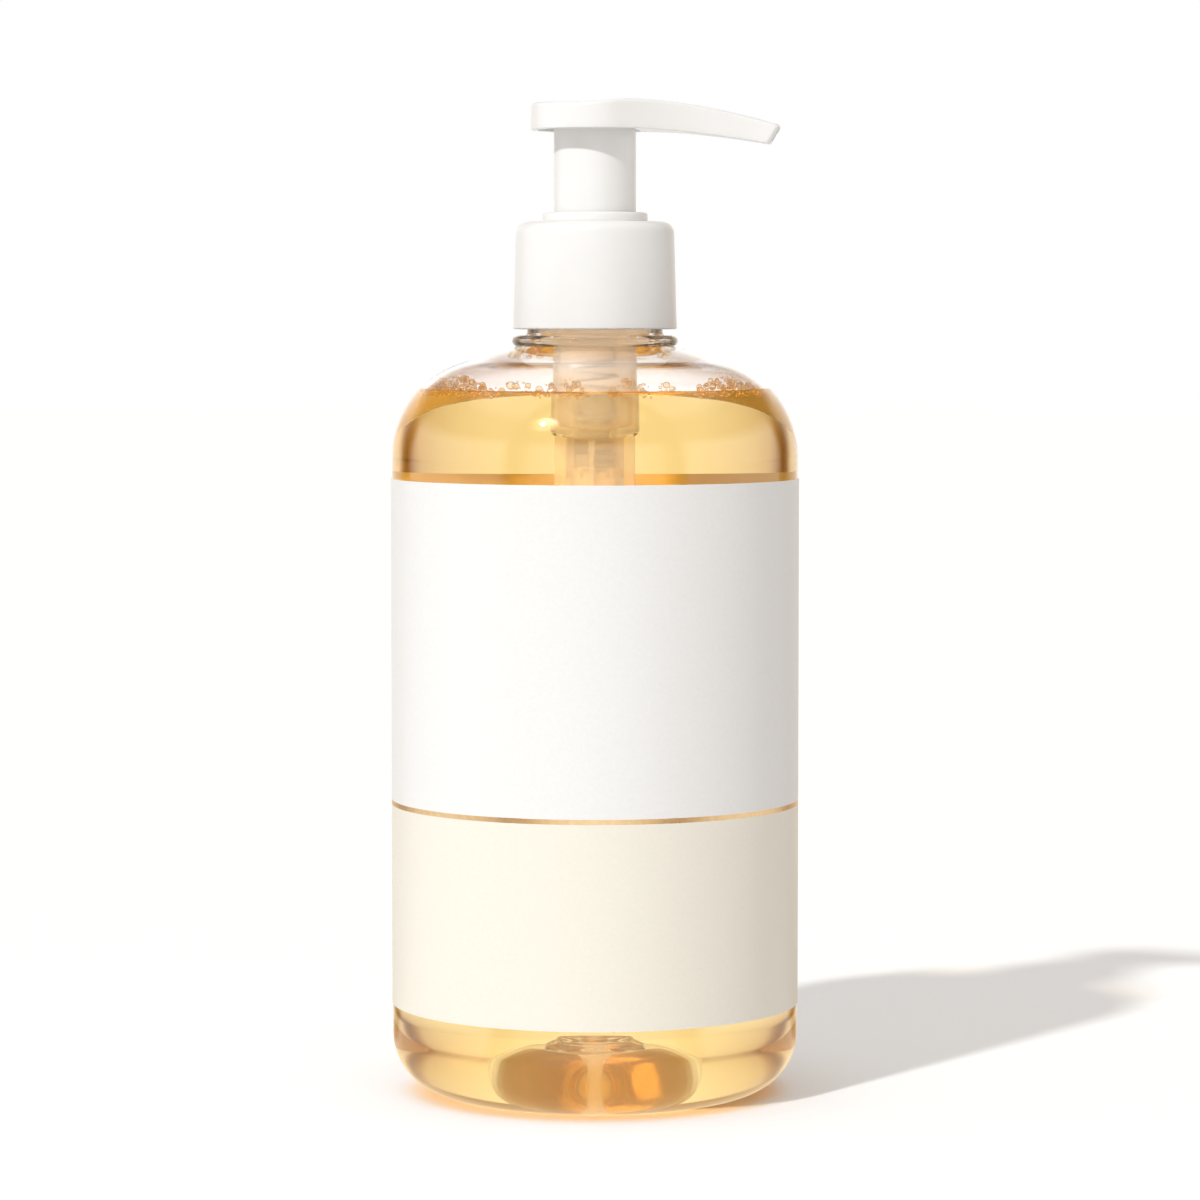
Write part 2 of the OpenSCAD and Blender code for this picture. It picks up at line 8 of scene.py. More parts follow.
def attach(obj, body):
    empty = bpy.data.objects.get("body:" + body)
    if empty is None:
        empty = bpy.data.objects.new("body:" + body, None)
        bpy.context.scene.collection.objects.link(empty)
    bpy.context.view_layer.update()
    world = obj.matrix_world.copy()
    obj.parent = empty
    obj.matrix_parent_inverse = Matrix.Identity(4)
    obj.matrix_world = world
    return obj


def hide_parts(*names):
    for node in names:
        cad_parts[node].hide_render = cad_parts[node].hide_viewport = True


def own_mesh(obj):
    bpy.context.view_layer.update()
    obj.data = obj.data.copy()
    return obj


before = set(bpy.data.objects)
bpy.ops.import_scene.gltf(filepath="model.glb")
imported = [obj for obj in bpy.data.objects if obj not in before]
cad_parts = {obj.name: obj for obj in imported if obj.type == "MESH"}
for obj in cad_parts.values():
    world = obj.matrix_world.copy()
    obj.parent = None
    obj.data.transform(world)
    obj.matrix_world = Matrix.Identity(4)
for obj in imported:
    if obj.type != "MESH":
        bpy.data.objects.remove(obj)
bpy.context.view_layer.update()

MM = 0.001
rng = random.Random(7)

# ------------------------------------------------------------ sizes, in mm
# The driving sizes are the CAD part's own. Radii and heights are worked out from them.

# Bottle, liquid and label
BODY_R, BODY_H, WALL = 37.0, 116.0, 0.7
SHOULDER_R, SLOPE = 18.25, math.radians(16)
HEEL_R, FOOT_W, PUSH_UP, BASE_T = 11.0, 1.5, 9.0, 1.2
DISC_R, DISC_H = 5.2, 1.3
SHOULDER_C = BODY_R - SHOULDER_R
FOOT_R = BODY_R - HEEL_R
FOOT_IN = FOOT_R - FOOT_W
DOME_EDGE = DISC_R + 1.2
BASE_TOP = PUSH_UP + BASE_T + DISC_H
LEVEL = BODY_H + 11
IMMERSION = 0.03
LABEL_Z, LABEL_H, LABEL_T, SEAM_W = 16.5, 95.8, 0.15, 7.0
LINE_Z, LINE_W = 53.0, 0.9

# Neck, bead and threads
NECK_R, NECK_BORE, NECK_H = 12.35, 10.8, 17.2
BEAD_R, BEAD_FOOT, BEAD_H = 15.1, 14.4, 2.0
SHOULDER_END_R = SHOULDER_C + SHOULDER_R * math.sin(SLOPE)
SHOULDER_END_Z = BODY_H + SHOULDER_R * math.cos(SLOPE)
BEAD_Z = round(SHOULDER_END_Z + (SHOULDER_END_R - BEAD_FOOT) * math.tan(SLOPE), 3)
BEAD_TOP = BEAD_Z + BEAD_H
NECK_TOP = BEAD_TOP + NECK_H
PITCH, TURNS, THREAD_R = 4.233, 1.5, 13.5
RIDGE_FOOT_W, RIDGE_CREST_W = 2.2, 1.2
THREAD_Z = NECK_TOP - 2.8 - PITCH * TURNS

# Closure, and the ring that guides the head
GASKET_T, SEAT_GAP, SLIDE_GAP = 1.0, 0.02, 0.05
FLANGE_Z = NECK_TOP + SEAT_GAP + GASKET_T
FLANGE_TOP = FLANGE_Z + 1.2
CAP_ROOT, CAP_CREST, CAP_NECK, CAP_HOLE = 13.7, 12.65, 12.9, 9.05
CAP_WALL, CAP_DRAFT, CAP_ROUND = 1.18, 0.55, 2.2
CLOSURE_Z = BEAD_TOP + 1.1
CAP_ROOF = FLANGE_TOP + SLIDE_GAP
CLOSURE_TOP = CAP_ROOF + 1.1
RING_R, RING_BORE, SLEEVE_R = 9.55, 7.75, 8.85
RING_Z = CLOSURE_TOP + SLIDE_GAP
RING_TOP = RING_Z + 1.6
SLEEVE_Z = RING_Z - 8.5

# Pump head
STROKE = 12.5
SKIRT_R, SKIRT_BORE = 7.45, 6.35
SKIRT_Z = RING_TOP - 1.7
HEAD_R = 11.6
HEAD_Z = RING_TOP + 14.9
HEAD_TOP = HEAD_Z + 4.9
REACH, DROP = 33.8, 2.7
TIP_W, TIP_H, TIP_LEAN, TIP_ROUND = 5.0, 3.6, 2.0, 0.9
TIP_TOP = HEAD_Z + 0.6
DISH, DISH_X = 0.28, -HEAD_R * 0.2
CREST, CREST_X = 0.37, HEAD_R * 0.67
OUTLET_R, OUTLET_L, OUTLET_SLOPE = 1.4, 11.0, math.radians(13)
BOSS_R, BOSS_BORE = 4.62, 3.42
BOSS_Z = HEAD_Z - 11

# Pump inside the bottle, from the cup in the neck down to the tube
PUMP_WALL = 0.9
LIP_R, FLANGE_R, CUP_R = 8.9, 12.85, 10.3
CYL_R, CHAMBER_R, SOCKET_R, RIB_R = 7.65, 6.0, 3.9, 5.4
CUP_Z = BEAD_Z + 0.8
CYL_TOP = SKIRT_Z - STROKE - 0.2
PISTON_Z = CYL_TOP - 5.9
CYL_FLOOR = PISTON_Z - STROKE - 0.1
CYL_Z = CYL_FLOOR - PUMP_WALL
CHAMBER_Z = CYL_Z - 8.9
CHAMBER_FLOOR = CHAMBER_Z + PUMP_WALL
SOCKET_Z = CHAMBER_Z - 12.7
TUBE_SEAT = CHAMBER_Z - 5.1
VALVE_SEAT = TUBE_SEAT + 1.5
SPRING_TOP = PISTON_Z - 1.7
TUBE_R, TUBE_WALL, TUBE_CUT = 2.8, 0.7, math.radians(30)
TUBE_TOP = TUBE_SEAT - 0.1
TUBE_END = BASE_TOP + 0.6


# ------------------------------------------------------------ mesh helpers
def arc(cx, cz, r, a, b, n=12):
    """Points of an arc round (cx, cz), from angle a to angle b, in degrees."""
    return [(cx + r * math.cos(math.radians(a + (b - a) * i / n)),
             cz + r * math.sin(math.radians(a + (b - a) * i / n))) for i in range(n + 1)]


def link(name, data):
    ob = bpy.data.objects.new(name, data)
    bpy.context.scene.collection.objects.link(ob)
    return ob


def new_object(name, bm, sharp=35):
    """A smooth-shaded object from bm, with edges over sharp degrees kept crisp."""
    bmesh.ops.recalc_face_normals(bm, faces=bm.faces)
    me = bpy.data.meshes.new(name)
    bm.to_mesh(me)
    bm.free()
    me.shade_smooth()
    me.set_sharp_from_angle(angle=math.radians(sharp))
    return link(name, me)


def on_circle(r, share, z):
    """The point at radius r and height z, share of a turn round, in metres."""
    return r * MM * math.cos(2 * math.pi * share), r * MM * math.sin(2 * math.pi * share), z * MM


def lathe_into(bm, profile, segs=160, mats=None):
    """Revolves a closed outline of (r, z) points. A point with r of 0 is a single vertex."""
    rings = []
    for r, z in profile:
        if r < 1e-6:
            rings.append([bm.verts.new((0, 0, z * MM))])
        else:
            rings.append([bm.verts.new(on_circle(r, i / segs, z)) for i in range(segs)])
    for k, (a, b) in enumerate(zip(rings, rings[1:] + rings[:1])):
        if len(a) == 1 and len(b) == 1:
            continue
        for i in range(segs):
            j = (i + 1) % segs
            if len(a) == 1:
                f = bm.faces.new((a[0], b[j], b[i]))
            elif len(b) == 1:
                f = bm.faces.new((a[i], a[j], b[0]))
            else:
                f = bm.faces.new((a[i], a[j], b[j], b[i]))
            if mats:
                f.material_index = mats[k]


def lathe(name, profile, segs=160, sharp=35):
    bm = bmesh.new()
    lathe_into(bm, profile, segs)
    return new_object(name, bm, sharp)


def rounded(points, n=5):
    """A closed (r, z) outline from (r, z, radius) corners, each rounded by its radius."""
    out = []
    for i, (r, z, rad) in enumerate(points):
        p = Vector((r, z))
        if rad <= 0:
            out.append((r, z))
            continue
        a = Vector(points[i - 1][:2]) - p
        b = Vector(points[(i + 1) % len(points)][:2]) - p
        half = a.angle(b) / 2
        d = min(rad / math.tan(half), a.length * 0.49, b.length * 0.49)
        c = p + (a.normalized() + b.normalized()).normalized() * (d / math.cos(half))
        s, e = p + a.normalized() * d - c, p + b.normalized() * d - c
        a0, a1 = math.atan2(s.y, s.x), math.atan2(e.y, e.x)
        turn = (a1 - a0 + math.pi) % (2 * math.pi) - math.pi
        for k in range(n + 1):
            t = a0 + turn * k / n
            out.append((c.x + s.length * math.cos(t), c.y + s.length * math.sin(t)))
    return out


def skin_between(bm, rings):
    """Faces between each ring of vertices and the next."""
    for a, b in zip(rings, rings[1:]):
        for k in range(len(a)):
            m = (k + 1) % len(a)
            bm.faces.new((a[k], a[m], b[m], b[k]))


def skin_and_cap(bm, rings):
    skin_between(bm, rings)
    bm.faces.new(rings[0][::-1])
    bm.faces.new(rings[-1])


def tube_into(bm, points, radius, sides=12):
    """Sweeps a circle along points, in mm, and caps its ends."""
    rings = []
    up = Vector((0, 0, 1))
    for i, p in enumerate(points):
        a = Vector(points[max(i - 1, 0)])
        b = Vector(points[min(i + 1, len(points) - 1)])
        t = (b - a).normalized()
        x = t.cross(up).normalized()
        y = x.cross(t)
        spokes = [x * math.cos(a) + y * math.sin(a) for a in [2 * math.pi * k / sides for k in range(sides)]]
        rings.append([bm.verts.new((Vector(p) + spoke * radius) * MM) for spoke in spokes])
    skin_and_cap(bm, rings)


def thread_into(bm, foot, crest, z):
    """A helical ridge that fades in and out, its foot a little inside the wall."""
    steps = 64
    n = int(steps * TURNS)
    sink = -0.3 if crest > foot else 0.3
    rings = []
    for i in range(n + 1):
        c = foot + (crest - foot) * min(1, 0.05 + min(i, n - i) / (steps / 8))
        section = ((foot + sink, -RIDGE_FOOT_W / 2), (c, -RIDGE_CREST_W / 2),
                   (c, RIDGE_CREST_W / 2), (foot + sink, RIDGE_FOOT_W / 2))
        middle = z + PITCH * i / steps
        rings.append([bm.verts.new(on_circle(r, i / steps, middle + h)) for r, h in section])
    skin_and_cap(bm, rings)


def block_into(bm, size, middle):
    """A block of size round middle, in mm, and its vertices."""
    made = bmesh.ops.create_cube(bm, size=1.0)["verts"]
    for v in made:
        v.co = Vector([m + c * w for m, c, w in zip(middle, v.co, size)]) * MM
    return made


def dome(r, t):
    """Height of the pushed-up base at radius r, lifted by t."""
    s = (r - DOME_EDGE) / (FOOT_IN - DOME_EDGE)
    return t + PUSH_UP * (1 + math.cos(math.pi * s)) / 2


def dome_points(t, a, b, n=28):
    return [(a + (b - a) * i / n, dome(a + (b - a) * i / n, t)) for i in range(n + 1)]


def wall_r(z, skin):
    """Radius of the shoulder at height z, skin mm inside the outer surface."""
    return SHOULDER_C + math.sqrt(max((SHOULDER_R - skin) ** 2 - (z - BODY_H) ** 2, 0))


# ------------------------------------------------------------ materials
def material(name, **sockets):
    """A new material, its node tree and its Principled BSDF with these socket values."""
    m = bpy.data.materials.new(name)
    m.use_nodes = True
    b = m.node_tree.nodes["Principled BSDF"]
    for k, v in sockets.items():
        b.inputs[k.replace("_", " ")].default_value = v
    return m, m.node_tree, b


def node(tree, kind, **props):
    """A new node with these properties or socket values."""
    n = tree.nodes.new(kind)
    for k, v in props.items():
        if k in n.bl_rna.properties:
            setattr(n, k, v)
        else:
            n.inputs[k.replace("_", " ")].default_value = v
    return n


def noise(tree, scale, detail=3.0, stretch=(1, 1, 1)):
    """Noise in the object's own metres."""
    co = node(tree, "ShaderNodeTexCoord")
    mp = node(tree, "ShaderNodeMapping")
    mp.inputs["Scale"].default_value = stretch
    nz = node(tree, "ShaderNodeTexNoise", Scale=scale, Detail=detail)
    tree.links.new(co.outputs["Object"], mp.inputs["Vector"])
    tree.links.new(mp.outputs["Vector"], nz.inputs["Vector"])
    return nz.outputs["Fac"]


def ramp_value(tree, source, lo, hi):
    """Spreads the middle of a noise, 0.3 to 0.7, over lo to hi."""
    r = node(tree, "ShaderNodeMapRange")
    for i, v in ((1, 0.3), (2, 0.7), (3, lo), (4, hi)):
        r.inputs[i].default_value = v
    tree.links.new(source, r.inputs[0])
    return r.outputs[0]


def bump(tree, bsdf, source, strength, distance):
    b = node(tree, "ShaderNodeBump", Strength=strength, Distance=distance)
    tree.links.new(source, b.inputs["Height"])
    tree.links.new(b.outputs["Normal"], bsdf.inputs["Normal"])


def mix_shaders(tree, share, first, second):
    mix = node(tree, "ShaderNodeMixShader")
    for source, socket in zip((share, first, second), mix.inputs):
        tree.links.new(source, socket)
    return mix.outputs[0]


def mix_colours(tree, share, first, second, **props):
    """Mixes two colours, each a socket or plain numbers."""
    mix = node(tree, "ShaderNodeMix", data_type="RGBA", **props)
    tree.links.new(share, mix.inputs[0])
    for i, colour in ((6, first), (7, second)):
        if isinstance(colour, tuple):
            mix.inputs[i].default_value = (*colour, 1)
        else:
            tree.links.new(colour, mix.inputs[i])
    return mix.outputs[2]


def tint(tree, bsdf, source, dark, light):
    """Base colour that drifts between two close colours."""
    tree.links.new(mix_colours(tree, source, dark, light), bsdf.inputs["Base Color"])


def white_plastic():
    m, t, b = material("white_plastic", Roughness=0.32, IOR=1.49)
    tint(t, b, ramp_value(t, noise(t, 90, 2), 0, 1), (0.905, 0.903, 0.893), (0.917, 0.916, 0.907))
    t.links.new(ramp_value(t, noise(t, 260, 2), 0.31, 0.34), b.inputs["Roughness"])
    bump(t, b, noise(t, 1400, 3), 0.02, 0.0001)
    return m


def lets_lamps_through(tree, bsdf, colour):
    """Lamps shine through the surface, tinted by colour, instead of stopping at it."""
    rays = node(tree, "ShaderNodeLightPath").outputs
    clear = node(tree, "ShaderNodeBsdfTransparent")
    clear.inputs["Color"].default_value = (*colour, 1)
    surface = mix_shaders(tree, rays["Is Shadow Ray"], bsdf.outputs[0], clear.outputs[0])
    tree.links.new(surface, tree.nodes["Material Output"].inputs["Surface"])


def clear_bottle():
    m, t, b = material("clear_bottle", Roughness=0.0, IOR=1.5, Transmission_Weight=1.0)
    b.inputs["Base Color"].default_value = (0.995, 0.985, 0.975, 1)
    bump(t, b, noise(t, 45, 2, (1, 1, 0.5)), 0.06, 0.0006)
    lets_lamps_through(t, b, (0.95, 0.94, 0.93))
    return m


def shampoo():
    m, t, b = material("shampoo", Roughness=0.0, IOR=1.36, Transmission_Weight=1.0)
    b.inputs["Base Color"].default_value = (1, 1, 1, 1)
    v = node(t, "ShaderNodeVolumeAbsorption", Density=24.0)
    v.inputs["Color"].default_value = (0.99, 0.82, 0.26, 1)
    t.links.new(v.outputs[0], t.nodes["Material Output"].inputs["Volume"])
    bump(t, b, noise(t, 60, 2), 0.03, 0.0004)
    lets_lamps_through(t, b, (0.98, 0.96, 0.92))
    return m


def glows(bsdf, colour, strength):
    """Stands in for the light that a thin or milky piece passes on."""
    bsdf.inputs["Emission Color"].default_value = (*colour, 1)
    bsdf.inputs["Emission Strength"].default_value = strength


def natural_plastic(name, clear, rough, glow):
    m, t, b = material(name, Roughness=rough, IOR=1.42, Transmission_Weight=clear)
    # Partly painted light: the milky plastic's own colour, warmed to stand in for the amber light that
    # reaches it through the shampoo.
    tint(t, b, ramp_value(t, noise(t, 120, 3), 0, 1), (0.96, 0.87, 0.75), (0.99, 0.91, 0.80))
    glows(b, (1.0, 0.80, 0.58), glow)
    bump(t, b, noise(t, 500, 3, (1, 1, 0.1)), 0.08, 0.0002)
    return m


def label_film(name, dark, light, rough=0.42, glow=0.0):
    m, t, b = material(name, IOR=1.46)
    tint(t, b, ramp_value(t, noise(t, 1800, 4), 0, 1), dark, light)
    t.links.new(ramp_value(t, noise(t, 700, 4), rough - 0.05, rough + 0.06), b.inputs["Roughness"])
    bump(t, b, noise(t, 3200, 4), 0.10, 0.00012)
    # A glow, where given, is painted light: the amber light that reaches the film's back through the
    # shampoo.
    if glow:
        glows(b, (1.0, 0.70, 0.26), glow)
    return m


def gold_foil():
    m, t, b = material("gold_foil", Metallic=1.0, Roughness=0.34)
    tint(t, b, ramp_value(t, noise(t, 900, 4), 0, 1), (0.86, 0.62, 0.33), (0.93, 0.70, 0.42))
    t.links.new(ramp_value(t, noise(t, 2400, 3), 0.26, 0.44), b.inputs["Roughness"])
    bump(t, b, noise(t, 4000, 3), 0.12, 0.0001)
    return m


def steel(name, rough):
    m, t, b = material(name, Metallic=1.0)
    tint(t, b, ramp_value(t, noise(t, 500, 3), 0, 1), (0.52, 0.52, 0.53), (0.66, 0.66, 0.66))
    brushed = noise(t, 900, 3, (1, 1, 6))
    t.links.new(ramp_value(t, brushed, rough - 0.04, rough + 0.08), b.inputs["Roughness"])
    return m


def soft(name, dark, light, rough, grain):
    m, t, b = material(name, IOR=1.45)
    tint(t, b, ramp_value(t, noise(t, grain / 3, 3), 0, 1), dark, light)
    t.links.new(ramp_value(t, noise(t, grain, 3), rough - 0.06, rough + 0.06), b.inputs["Roughness"])
    bump(t, b, noise(t, grain * 2, 4), 0.25, 0.0002)
    return m


def foam_film():
    m, t, b = material("foam_film", Roughness=0.02, IOR=1.33, Transmission_Weight=1.0)
    tint(t, b, ramp_value(t, noise(t, 300, 2), 0, 1), (1.0, 0.86, 0.66), (1, 0.95, 0.86))
    return m


WHITE = white_plastic()
PET = clear_bottle()
LIQUID = shampoo()
NATURAL = natural_plastic("natural_plastic", 0.75, 0.22, 0.1)
TUBE = natural_plastic("tube_plastic", 0.62, 0.16, 0.17)
LABEL_WHITE = label_film("label_white", (0.885, 0.885, 0.88), (0.915, 0.915, 0.91))
LABEL_CREAM = label_film("label_cream", (0.895, 0.86, 0.765), (0.92, 0.885, 0.79))
# Painted light: the label's inner face is coloured amber and glows amber, standing in for the light that
# reaches it through the shampoo.
LABEL_BACK_PAINTED_AMBER = label_film("label_back_painted_amber", (0.62, 0.46, 0.24), (0.68, 0.51, 0.28), 0.5, 0.3)
GOLD = gold_foil()
BALL = steel("ball_steel", 0.12)
WIRE = steel("spring_steel", 0.3)
SEAL = soft("gasket_foam", (0.72, 0.72, 0.71), (0.82, 0.82, 0.81), 0.7, 2500)
PISTON = soft("piston_plastic", (0.80, 0.78, 0.72), (0.88, 0.86, 0.81), 0.45, 1200)
FOAM = foam_film()


def dress(ob, *mats):
    """Gives the object its materials, in order."""
    for m in mats:
        ob.data.materials.append(m)
    return ob


def place(ob, body, slot, *stands_for):
    """Puts a piece on its body, in place of the CAD nodes that it stands for."""
    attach(ob, body)
    if stands_for:
        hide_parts(*stands_for)
    return ob


# ------------------------------------------------------------ bottle
BODY_LEVELS = (38, 64, 90)


def base_centre(top):
    """The raised disc in the middle of the base, from its centre out, with its top at height top."""
    edge = 0.6
    return [(0, top)] + arc(DISC_R - edge, top - edge, edge, 90, 0, 6)


def make_bottle():
    shoulder_end = 90 - math.degrees(SLOPE)
    half = BEAD_H / 2
    blend = 0.4
    outer = [(NECK_R, NECK_TOP - 0.3), (NECK_R, BEAD_TOP + blend), (NECK_R + blend, BEAD_TOP)]
    outer += arc(BEAD_R - half, BEAD_Z + half, half, 90, -60, 14)
    outer += [(BEAD_FOOT, BEAD_Z)]
    outer += arc(SHOULDER_C, BODY_H, SHOULDER_R, shoulder_end, 0, 40)
    outer += [(BODY_R, z) for z in reversed(BODY_LEVELS)]
    outer += arc(FOOT_R, HEEL_R, HEEL_R, 0, -90, 36)

    # The underside, with the gate's small dimple in its middle.
    disc_z = PUSH_UP + DISC_H
    under = [(FOOT_IN, 0)] + dome_points(0, FOOT_IN - 0.6, DOME_EDGE)
    under += arc(DISC_R - 0.9, disc_z - 0.5, 0.5, 0, 90, 5)
    under += [(1.9, disc_z), (1.5, disc_z - 0.3), (1.3, disc_z - 0.6), (0, disc_z - 0.6)]

    inner_r = SHOULDER_R - WALL
    inside = base_centre(BASE_TOP)
    inside += dome_points(BASE_T, DOME_EDGE, FOOT_IN - 1)
    inside += arc(FOOT_R, HEEL_R, HEEL_R - WALL, -90, 0, 36)
    inside += [(BODY_R - WALL, z) for z in BODY_LEVELS]
    inside += arc(SHOULDER_C, BODY_H, inner_r, 0, shoulder_end, 40)
    end_r = SHOULDER_C + inner_r * math.sin(SLOPE)
    neck_foot = BODY_H + inner_r * math.cos(SLOPE) + (end_r - NECK_BORE) * math.tan(SLOPE)
    inside += [(NECK_BORE + 0.8, neck_foot - 0.25), (NECK_BORE + 0.2, neck_foot + 0.15)]
    inside += [(NECK_BORE, neck_foot + 0.8), (NECK_BORE, NECK_TOP), (NECK_R - 0.3, NECK_TOP)]
    bm = bmesh.new()
    lathe_into(bm, outer + under + inside, 256)
    thread_into(bm, NECK_R, THREAD_R, THREAD_Z)
    return place(dress(new_object("bottle_shell", bm, 40), PET), "bottle", "clear_bottle", "bottle")


# ------------------------------------------------------------ liquid
def climb_points(start, way, reach, height, fade):
    """The liquid's surface from a wall at radius start, where it climbs by height."""
    steps = 24
    points = []
    for i in range(steps + 1):
        d = reach * (i / steps) ** 2
        points.append((start + way * d, LEVEL + height * math.exp(-d / fade)))
    return points


def make_liquid():
    """It runs a little way into the bottle's wall, so that the two meet with no air between."""
    skin = WALL - IMMERSION
    climb = 1.3
    foot = base_centre(BASE_TOP - IMMERSION)
    foot += dome_points(BASE_T - IMMERSION, DOME_EDGE, FOOT_IN - 1)
    foot += arc(FOOT_R, HEEL_R, HEEL_R - skin, -90, 0, 36)
    foot += [(BODY_R - skin, z) for z in BODY_LEVELS]
    top_angle = math.degrees(math.asin((LEVEL + climb - BODY_H) / (SHOULDER_R - skin)))
    side = arc(SHOULDER_C, BODY_H, SHOULDER_R - skin, 0, top_angle, 30)
    surface = climb_points(wall_r(LEVEL + climb, skin), -1, 9, climb, 1.5)[1:]
    pump_r = CYL_R - 0.02
    surface += climb_points(pump_r, 1, 8, 0.9, 1.3)[::-1]
    chamber_r, floor_z = CHAMBER_R - 0.02, CHAMBER_Z + 0.05
    hole = [(pump_r, CYL_Z + 0.02), (chamber_r, CYL_Z + 0.02), (chamber_r, floor_z), (0, floor_z)]
    ob = lathe("shampoo_liquid", foot + side + surface + hole, 256, 40)
    return place(dress(ob, LIQUID), "bottle", "shampoo", "shampoo")


def ball_mesh():
    """Vertices and faces of a ball with a radius of 1."""
    bm = bmesh.new()
    bmesh.ops.create_icosphere(bm, subdivisions=2, radius=1.0)
    verts = [v.co.copy() for v in bm.verts]
    faces = [tuple(v.index for v in f.verts) for f in bm.faces]
    bm.free()
    return verts, faces


def make_foam():
    """Small bubbles along the liquid's edge and round the pump, in a few clusters."""
    # Middle and half-width of each cluster in degrees, how many bubbles, and their size.
    clusters = [(-144, 27, 330, 0.58), (-95, 9, 90, 0.5), (-73, 7, 70, 0.5), (-30, 19, 200, 0.55),
                (20, 14, 40, 0.7), (75, 16, 50, 0.7), (128, 14, 60, 0.8)]
    placed = []

    def is_free(x, y, z, r):
        return all((x - a) ** 2 + (y - b) ** 2 + (z - c) ** 2 > (0.86 * (r + d)) ** 2
                   for a, b, c, d in placed)

    for middle, spread, count, size in clusters:
        for _ in range(count * 3):
            if count <= 0:
                break
            r = size * (0.28 + 0.9 * rng.random() ** 3)
            off = rng.uniform(-1, 1)
            a = math.radians(middle + spread * off)
            z = LEVEL + 0.1 + (2.9 * (1 - off * off) + 0.6) * rng.random() ** 1.3
            rad = wall_r(z, WALL) - r - 0.05 - 2.6 * rng.random() ** 2
            x, y = rad * math.cos(a), rad * math.sin(a)
            if is_free(x, y, z, r):
                placed.append((x, y, z, r))
                count -= 1
    for _ in range(16):
        r = 0.3 + 0.5 * rng.random()
        a = rng.random() * 2 * math.pi
        rad = CYL_R + r + 0.2
        x, y, z = rad * math.cos(a), rad * math.sin(a), LEVEL + 0.5
        if is_free(x, y, z, r):
            placed.append((x, y, z, r))
    unit, sides = ball_mesh()
    verts, faces = [], []
    for x, y, z, r in placed:
        # The larger bubbles have an inner skin, so that they look hollow.
        for share in (1.0, 0.86) if r > 0.42 else (1.0,):
            n = len(verts)
            verts += [(Vector((x, y, z)) + v * r * share) * MM for v in unit]
            faces += [tuple(n + i for i in (f if share == 1 else f[::-1])) for f in sides]
    me = bpy.data.meshes.new("foam_bubbles")
    me.from_pydata(verts, [], faces)
    me.shade_smooth()
    return place(dress(link("foam_bubbles", me), FOAM), "bottle", "shampoo")


# ------------------------------------------------------------ label
def make_label():
    """A film wrapped once round, with its end lapped over its start at the back."""
    white, cream, gold, back = range(4)
    # Its inner face sits just inside the wall: glued film, with no air behind it.
    r0, r1 = BODY_R - 0.015, BODY_R + 0.01 + LABEL_T
    z0, z1 = LABEL_Z, LABEL_Z + LABEL_H
    a, b = LINE_Z, LINE_Z + LINE_W
    soft_edge = 0.03
    outline = [(r0, z0), (r1 - soft_edge, z0), (r1, z0 + soft_edge), (r1, (z0 + a) / 2), (r1, a), (r1, b),
               (r1, (b + z1) / 2), (r1, z1 - soft_edge), (r1 - soft_edge, z1), (r0, z1)]
    # The inner face takes the label back's painted amber colour and painted glow.
    kinds = [cream] * 4 + [gold] + [white] * 4 + [back]
    bm = bmesh.new()
    lathe_into(bm, outline, 256, kinds)

    half = SEAM_W / BODY_R / 2
    steps = 14
    columns = []
    for i in range(steps + 1):
        share = 0.25 + half * (2 * i / steps - 1) / (2 * math.pi)
        out = r1 + (LABEL_T if i else 0.02)
        column = ((r1 - 0.01, z0), (out, z0), (out, a), (out, b), (out, z1), (r1 - 0.01, z1))
        columns.append([bm.verts.new(on_circle(r, share, z)) for r, z in column])
    for c, d in zip(columns, columns[1:]):
        for k, kind in enumerate((cream, cream, gold, white, white, white)):
            m = (k + 1) % len(c)
            f = bm.faces.new((c[k], d[k], d[m], c[m]))
            f.material_index = kind
    bm.faces.new(columns[0])
    bm.faces.new(columns[-1][::-1])
    ob = dress(new_object("label_wrap", bm, 40), LABEL_WHITE, LABEL_CREAM, GOLD, LABEL_BACK_PAINTED_AMBER)
    return place(ob, "bottle", "label_film", "label")


# ------------------------------------------------------------ closure and ring
def make_closure():
    foot_r = CAP_ROOT + CAP_WALL
    top_r = foot_r - CAP_DRAFT
    outline = rounded([
        (CAP_ROOT, CLOSURE_Z, 0.25), (foot_r, CLOSURE_Z, 0.35), (top_r, CLOSURE_TOP, CAP_ROUND),
        (CAP_HOLE, CLOSURE_TOP, 0.15), (CAP_HOLE, CAP_ROOF, 0.1), (CAP_NECK, CAP_ROOF, 0.2),
        (CAP_NECK, NECK_TOP - 1.2, 0.2), (CAP_ROOT, NECK_TOP - 2, 0.2)], 9)
    bm = bmesh.new()
    lathe_into(bm, outline, 192)
    thread_into(bm, CAP_ROOT, CAP_CREST, THREAD_Z - PITCH / 2)
    return place(dress(new_object("closure_cap", bm, 35), WHITE), "closure", "white_plastic", "closure")


def make_ring():
    snap_z = FLANGE_Z - 0.453
    outline = rounded([
        (RING_BORE, RING_TOP, 0.25), (RING_R, RING_TOP, 0.5), (RING_R, RING_Z, 0.15),
        (SLEEVE_R, RING_Z, 0.1), (SLEEVE_R, snap_z, 0.1), (SLEEVE_R + 0.25, snap_z - 0.3, 0.1),
        (SLEEVE_R, snap_z - 0.9, 0.1), (SLEEVE_R, SLEEVE_Z + 0.447, 0.1),
        (SLEEVE_R - 0.4, SLEEVE_Z, 0.1), (RING_BORE, SLEEVE_Z, 0.1)], 6)
    return place(dress(lathe("guide_ring", outline, 160), WHITE), "pump", "white_plastic", "lock_ring")


# ------------------------------------------------------------ head
HEAD_EDGE, HEAD_FOOT = 0.6, 0.2
HEAD_ROOF = 1.6


def head_circle(r, start, steps):
    """Points round the back of a circle, from start degrees off the spout to start past it."""
    angles = [math.radians(start + (360 - 2 * start) * i / steps) for i in range(steps + 1)]
    return [(r * math.cos(a), r * math.sin(a)) for a in angles]


